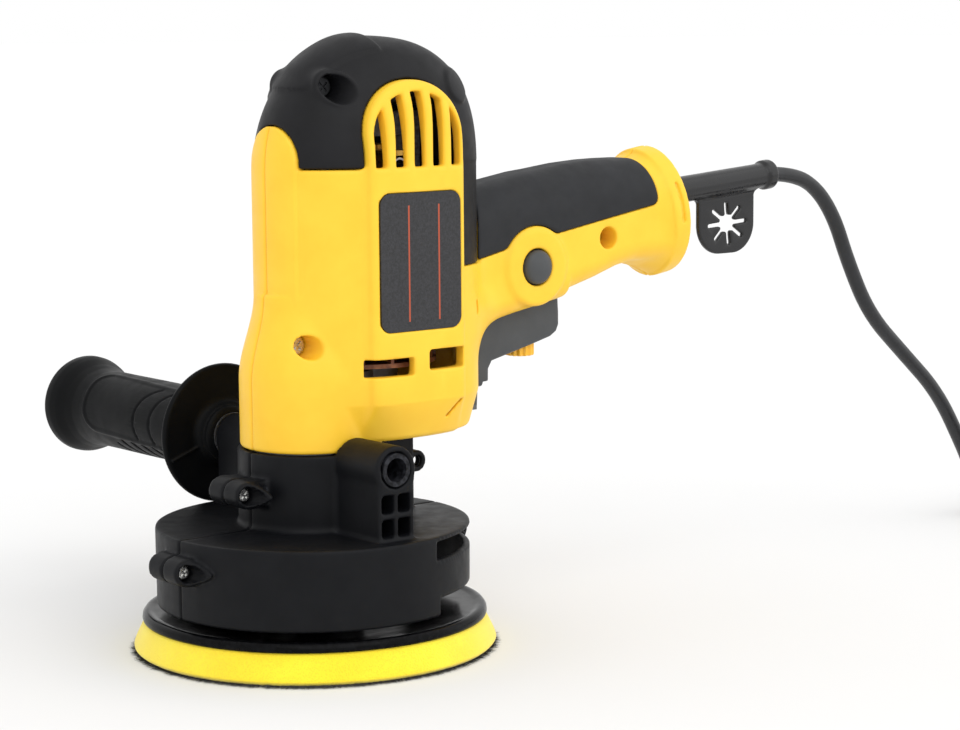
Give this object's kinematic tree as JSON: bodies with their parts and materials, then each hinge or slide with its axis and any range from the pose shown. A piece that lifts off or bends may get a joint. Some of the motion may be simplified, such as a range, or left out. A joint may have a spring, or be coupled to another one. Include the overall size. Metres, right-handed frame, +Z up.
{
  "type": "dual action polisher",
  "caption": "Corded dual action polisher with an egg-shaped motor housing, pistol-grip rear handle, side handle, round shroud and foam pad on a free-spinning plate.",
  "frame": {"origin": "centre of the pad's working face, on the surface that the tool stands on", "axes": "+Z up along the pad axis, +X towards the rear handle and its lead, +Y towards the screwed-in side handle"},
  "size_m": [0.5144, 0.232, 0.2098],
  "materials": {
    "housing_yellow": "fine moulded texture, semi-matt",
    "charcoal_plastic": "fine moulded texture, semi-matt",
    "soft_grip": "matt soft-touch elastomer",
    "control_plastic": "semi-matt moulded",
    "dial_orange": "ribbed, semi-matt",
    "label_black": "fine grain with thin orange lines",
    "foam_yellow": "open-cell foam, matt",
    "hook_black": "hook-and-loop pile",
    "plate_black": "glossy moulded",
    "screw_steel": "zinc plated",
    "machined_steel": "ground",
    "cast_aluminium": "as cast",
    "cast_weight": "machined",
    "laminated_steel": "stacked laminations",
    "copper": "enamelled copper winding",
    "brass_parts": "machined",
    "carbon": "pressed carbon",
    "fan_brown": "moulded",
    "lead_black": "satin sheath",
    "plug_black": "moulded"
  },
  "bodies": {
    "housing": {"bearing_plate": "cast_aluminium", "bearing_retainer": "machined_steel", "brush_bridge": "control_plastic", "brush_holders": "brass_parts", "brush_springs": "machined_steel", "cap_screws": "screw_steel", "capacitor": "fan_brown", "carbon_brushes": "carbon", "coil_tie": "control_plastic", "cord_clamp": "control_plastic", "cord_clamp_screws": "screw_steel", "cord_in_handle": "lead_black", "field_coils": "copper", "gear_case": "cast_aluminium", "handle_grip": "soft_grip", "housing_left": "housing_yellow", "housing_right": "housing_yellow", "housing_screws": "screw_steel", "label_plates": "label_black", "lead_coil": "lead_black", "lower_motor_bearing": "machined_steel", "lower_spindle_bearing": "machined_steel", "mains_lead": "lead_black", "plug_body": "plug_black", "plug_pins": "brass_parts", "shroud_left": "charcoal_plastic", "shroud_right": "charcoal_plastic", "shroud_screws": "screw_steel", "stator_core": "laminated_steel", "strain_relief": "lead_black", "switch_body": "control_plastic", "tail_guide": "control_plastic", "thread_inserts": "machined_steel", "top_cap": "charcoal_plastic", "upper_motor_bearing": "machined_steel", "upper_spindle_bearing": "machined_steel"},
    "spindle": {"spindle_shaft": "machined_steel", "spindle_gear": "machined_steel", "gear_key": "machined_steel", "eccentric_hub": "cast_weight", "pad_bearing": "machined_steel", "bearing_clip": "machined_steel"},
    "pad": {"pad_shaft": "machined_steel", "plate_hub_nut": "machined_steel", "backing_plate": "plate_black", "foam_pad": "foam_yellow", "hook_face": "hook_black"},
    "armature": {"armature_shaft": "machined_steel", "pinion": "machined_steel", "armature_core": "laminated_steel", "armature_windings": "copper", "commutator": "brass_parts", "cooling_fan": "fan_brown"},
    "trigger": {"trigger": "control_plastic"},
    "speed_dial": {"speed_dial": "dial_orange"},
    "lock_button": {"lock_button": "control_plastic"},
    "handle_washer": {"side_handle_washer": "machined_steel"},
    "side_handle": {"side_handle_grip": "charcoal_plastic", "side_handle_stud": "machined_steel"}
  },
  "joints": [
    {"name": "spindle_spin", "type": "hinge", "parent": "housing", "child": "spindle", "pos_m": [-0.00257, -0.00306, 0.06], "axis": [0, 0, 1], "continuous": true},
    {"name": "pad_spin", "type": "hinge", "parent": "spindle", "child": "pad", "pos_m": [0, 0, 0.03], "axis": [0, 0, 1], "continuous": true},
    {"name": "armature_spin", "type": "hinge", "parent": "housing", "child": "armature", "pos_m": [0.01843, -0.00306, 0.13], "axis": [0, 0, 1], "continuous": true},
    {"name": "trigger_pull", "type": "slide", "parent": "housing", "child": "trigger", "axis": [0, 0, 1], "range_m": [0, 0.006], "stiffness_N_per_m": 800, "springref_m": -0.004},
    {"name": "speed_dial_turn", "type": "hinge", "parent": "trigger", "child": "speed_dial", "pos_m": [0.09043, -0.00306, 0.096], "axis": [0, 0, 1], "range_deg": [0, 270]},
    {"name": "lock_button_push", "type": "slide", "parent": "housing", "child": "lock_button", "axis": [0, 1, 0], "range_m": [0, 0.003], "stiffness_N_per_m": 600, "springref_m": -0.002},
    {"name": "side_handle_advance", "type": "slide", "parent": "housing", "child": "handle_washer", "axis": [0, 1, 0], "range_m": [0, 0.01375]},
    {"name": "side_handle_turn", "type": "hinge", "parent": "handle_washer", "child": "side_handle", "pos_m": [-0.00257, 0.09694, 0.068], "axis": [0, 1, 0], "range_deg": [0, 3960]}
  ],
  "couplings": [
    {"joint": "armature_spin", "follows": "spindle_spin", "ratio": -3},
    {"joint": "side_handle_advance", "follows": "side_handle_turn", "m_per_rad": 0.00019894}
  ]
}
